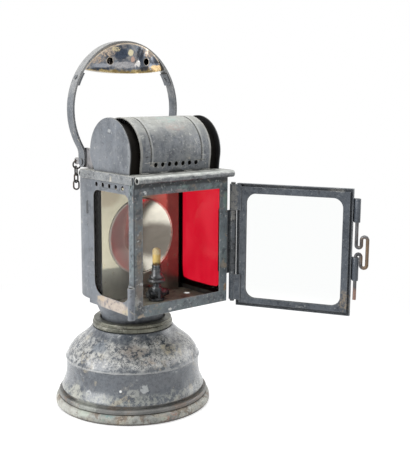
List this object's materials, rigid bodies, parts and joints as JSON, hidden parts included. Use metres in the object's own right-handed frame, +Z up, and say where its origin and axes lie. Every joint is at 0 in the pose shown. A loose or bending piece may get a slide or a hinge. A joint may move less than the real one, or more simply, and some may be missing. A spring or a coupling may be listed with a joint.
{
  "type": "railway hand lantern",
  "caption": "Carbide hand lantern with a bell-shaped generator, a square head with a glazed side-hung door, a red side pane, a round reflector, a barrel cowl and a carrying bail.",
  "frame": {"origin": "centre of the foot's flat underside, on the ground", "axes": "+Z up; -Y out of the doorway; +X along the door face towards the hinge side"},
  "size_m": [0.1949, 0.2643, 0.3422],
  "materials": {
    "base_sheet": "mottled grey paint with ochre wear",
    "burner_metal": "blackened brass",
    "ceramic": "cream ceramic",
    "clear_glass": "clear",
    "copper_pipe": "dull copper",
    "dark_sheet": "worn charcoal paint",
    "grip_brass": "brass with worn dark paint",
    "inner_floor": "brown stained sheet",
    "nickel": "aged nickel plate",
    "painted_sheet": "worn slate-grey paint",
    "red_glass": "ruby red",
    "roof_sheet": "rubbed grey paint",
    "rubber": "black rubber",
    "soot": "soot black",
    "steel": "worn steel wire",
    "union_brass": "dull brass"
  },
  "bodies": {
    "generator": {"generator_shell": "base_sheet", "foot_ring": "base_sheet", "bottom_pan": "base_sheet", "carbide_canister": "base_sheet", "canister_lid": "base_sheet", "neck_socket": "union_brass", "neck_gasket": "rubber"},
    "neck_union": {"neck_ring": "union_brass"},
    "tap": {"tap_key": "burner_metal"},
    "bail": {"bail_strap": "painted_sheet", "bail_grip": "grip_brass", "grip_tangs": "painted_sheet", "grip_rivets": "painted_sheet"},
    "door": {"door_frame": "dark_sheet", "door_glass": "clear_glass", "door_retainer": "dark_sheet", "door_knuckles": "dark_sheet", "latch_guides": "dark_sheet"},
    "latch": {"latch_rod": "steel"},
    "chain": {"chain_ring": "steel", "chain_links": "steel"},
    "head": {"collar": "painted_sheet", "head_floor": "inner_floor", "left_wall": "painted_sheet", "right_wall": "painted_sheet", "front_frame": "painted_sheet", "frame_rivets": "painted_sheet", "rear_housing": "painted_sheet", "rear_crown": "painted_sheet", "left_glass": "clear_glass", "red_glass": "red_glass", "left_channels": "dark_sheet", "right_channels": "dark_sheet", "reflector_plate": "nickel", "reflector_dish": "nickel", "reflector_brackets": "dark_sheet", "reflector_screws": "nickel", "burner_body": "burner_metal", "burner_nipple": "steel", "burner_sleeve": "burner_metal", "burner_tip": "ceramic", "gas_pipe": "copper_pipe", "roof_plate": "roof_sheet", "cowl_flue": "soot", "cowl_shell": "roof_sheet", "cowl_end_left": "painted_sheet", "cowl_end_right": "painted_sheet", "bail_ears": "painted_sheet", "bail_pins": "painted_sheet", "hinge_leaf": "dark_sheet", "hinge_pin": "dark_sheet", "latch_keeper": "painted_sheet"}
  },
  "joints": [
    {"name": "head_lift", "type": "slide", "parent": "generator", "child": "head", "axis": [0, 0, 1], "range_m": [0, 0.045]},
    {"name": "neck_ring_turn", "type": "hinge", "parent": "head", "child": "neck_union", "pos_m": [0, 0, 0.079], "axis": [0, 0, 1], "range_deg": [0, 40]},
    {"name": "door_swing", "type": "hinge", "parent": "head", "child": "door", "pos_m": [0.0568, -0.0802, 0.16], "axis": [0, 0, 1], "range_deg": [-119.8, 50]},
    {"name": "latch_slide", "type": "slide", "parent": "door", "child": "latch", "axis": [0, 0, 1], "range_m": [0, 0.02]},
    {"name": "bail_swing", "type": "hinge", "parent": "head", "child": "bail", "pos_m": [0, 0.011, 0.2334], "axis": [1, 0, 0], "range_deg": [-115, 45]},
    {"name": "tap_turn", "type": "hinge", "parent": "head", "child": "tap", "pos_m": [0, -0.039, 0.1125], "axis": [1, 0, 0], "range_deg": [0, 90]},
    {"name": "chain_swing", "type": "hinge", "parent": "head", "child": "chain", "pos_m": [-0.04455, 0.024, 0.233], "axis": [1, 0, 0], "range_deg": [0, 60]}
  ]
}
